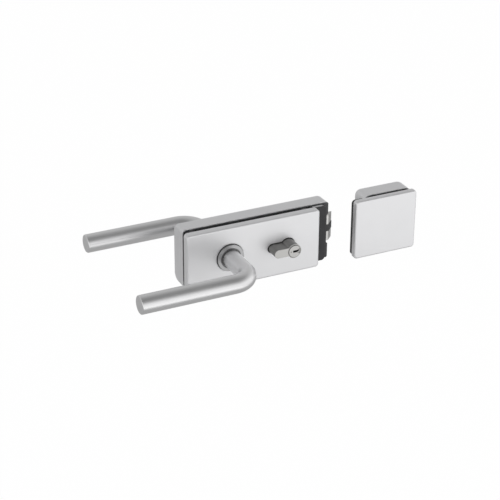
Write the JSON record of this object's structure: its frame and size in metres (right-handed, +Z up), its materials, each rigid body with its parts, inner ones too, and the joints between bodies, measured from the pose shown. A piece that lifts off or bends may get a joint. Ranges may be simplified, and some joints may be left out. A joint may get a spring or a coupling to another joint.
{
  "type": "glass door lever lockset",
  "caption": "Lever lockset for a glass door: clamped lock case with two round bar levers, profile cylinder, latch and dead bolt, and its separate strike box.",
  "frame": {"origin": "the spindle's axis where it crosses the rear gasket's glass face", "axes": "+X towards the latch and the strike, +Y from the front side to the rear side through the glass, +Z up"},
  "size_m": [0.3738, 0.1812, 0.0732],
  "materials": {
    "satin_steel": "satin brushed stainless steel",
    "lever_steel": "fine brushed stainless steel",
    "plate_steel": "black coated steel",
    "case_steel": "zinc plated steel",
    "black_rubber": "matt black rubber",
    "black_plastic": "matt black plastic",
    "nickel": "satin nickel on brass",
    "screw_steel": "plain steel"
  },
  "bodies": {
    "lock_and_strike": {"front_cover": "satin_steel", "front_clamp_plate": "plate_steel", "front_gasket": "black_rubber", "front_collar": "satin_steel", "clamp_screws": "screw_steel", "clamp_sleeves": "black_plastic", "rear_gasket": "black_rubber", "base_plate": "plate_steel", "lock_case": "case_steel", "case_lid": "case_steel", "lid_screws": "screw_steel", "lid_corner_screw": "screw_steel", "forend": "black_plastic", "forend_screws": "screw_steel", "edge_block": "black_plastic", "edge_bracket": "screw_steel", "stop_gasket": "black_rubber", "edge_screws": "screw_steel", "rear_cover": "satin_steel", "rear_collar": "satin_steel", "cover_screws": "screw_steel", "cylinder_body": "nickel", "cylinder_screw": "screw_steel", "latch_spring": "screw_steel", "return_spring": "screw_steel", "strike_front_cover": "satin_steel", "strike_front_plate": "plate_steel", "strike_front_gasket": "black_rubber", "strike_stop_pad": "black_rubber", "strike_rear_gasket": "black_rubber", "strike_base_plate": "plate_steel", "strike_keeper": "black_plastic", "strike_keeper_screws": "screw_steel", "strike_clamp_screws": "screw_steel", "strike_clamp_sleeves": "black_plastic", "strike_cover_screws": "screw_steel", "strike_rear_cover": "satin_steel"},
    "lever_set": {"front_lever": "lever_steel", "rear_lever": "lever_steel", "spindle": "screw_steel", "lever_grub_screws": "screw_steel", "follower": "case_steel"},
    "latch": {"latch_bolt": "nickel", "latch_insert": "black_plastic", "latch_tail": "case_steel"},
    "key_core": {"front_plug": "nickel", "cylinder_cam": "screw_steel"},
    "rear_core": {"rear_plug": "nickel"},
    "bolt": {"dead_bolt": "nickel"}
  },
  "joints": [
    {"name": "lever_turn", "type": "hinge", "parent": "lock_and_strike", "child": "lever_set", "pos_m": [0, 0, 0], "axis": [0, -1, 0], "range_deg": [0, 32], "stiffness_Nm_per_rad": 1, "springref_deg": -57.3, "deforming": ["return_spring"]},
    {"name": "latch_slide", "type": "slide", "parent": "lock_and_strike", "child": "latch", "axis": [-1, 0, 0], "range_m": [0, 0.0117], "deforming": ["latch_spring"]},
    {"name": "key_turn", "type": "hinge", "parent": "lock_and_strike", "child": "key_core", "pos_m": [0.072, 0, 0], "axis": [0, -1, 0], "range_deg": [0, 360]},
    {"name": "rear_key_turn", "type": "hinge", "parent": "lock_and_strike", "child": "rear_core", "pos_m": [0.072, 0, 0], "axis": [0, -1, 0], "range_deg": [0, 360]},
    {"name": "bolt_throw", "type": "slide", "parent": "lock_and_strike", "child": "bolt", "axis": [1, 0, 0], "range_m": [0, 0.0118]}
  ],
  "couplings": [
    {"joint": "latch_slide", "follows": "lever_turn", "m_per_rad": 0.020735},
    {"joint": "bolt_throw", "follows": "key_turn", "m_per_rad": 0.0018303}
  ]
}
